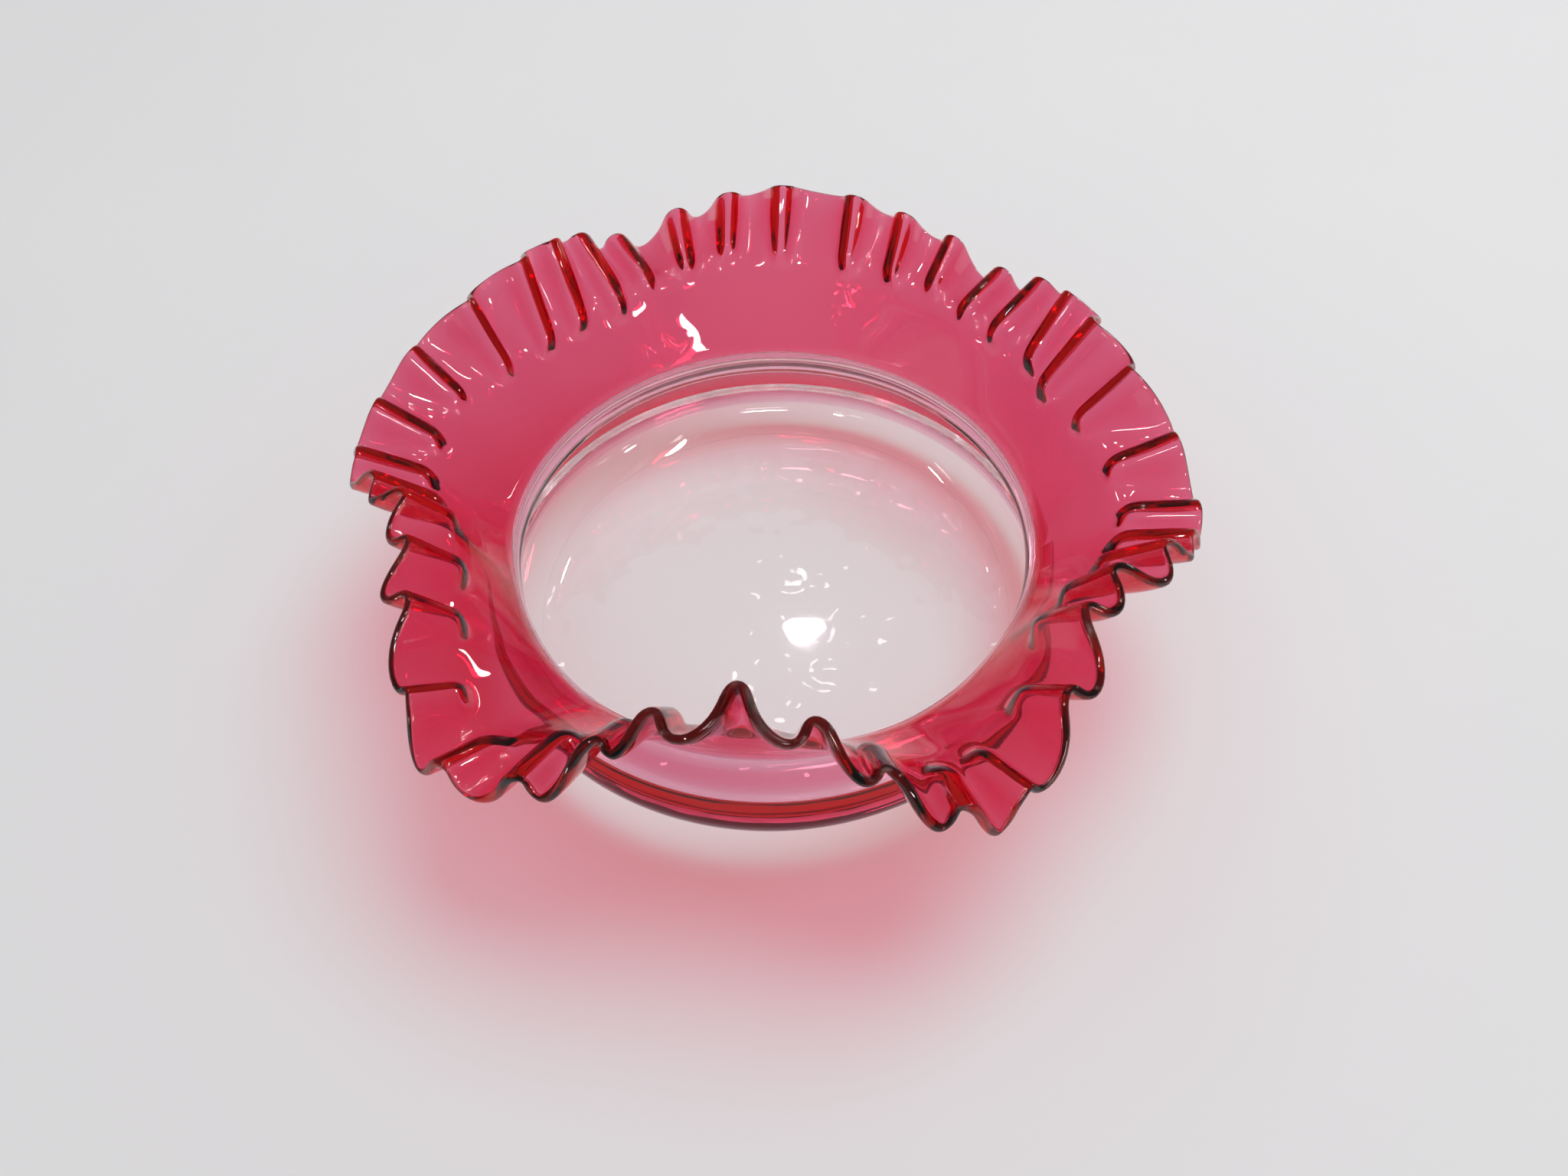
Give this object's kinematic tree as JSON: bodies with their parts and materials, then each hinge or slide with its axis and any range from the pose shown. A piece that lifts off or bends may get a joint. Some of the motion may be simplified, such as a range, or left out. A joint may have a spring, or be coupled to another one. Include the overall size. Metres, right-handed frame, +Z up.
{
  "type": "crimped glass bowl",
  "caption": "Blown glass bowl: squat clear dish with a flat foot, narrow waist, flared cranberry wall and a crimped frill edge lifted in broad folds.",
  "frame": {"origin": "centre of the flat foot, on the surface that the bowl stands on", "axes": "+Z up along the bowl's axis; -Y towards the viewer's side, where the front fold of the frill stands; +X to the viewer's right"},
  "size_m": [0.2072, 0.2008, 0.0764],
  "materials": {
    "clear_glass": "gloss",
    "waist_glass": "gloss",
    "ruby_glass": "gloss",
    "frill_glass": "gloss"
  },
  "bodies": {
    "root": {"flat_foot": "clear_glass", "dish_belly": "clear_glass", "dish_shoulder": "clear_glass", "waist_ring": "waist_glass", "flared_wall": "ruby_glass", "crimped_frill": "frill_glass"}
  },
  "joints": []
}
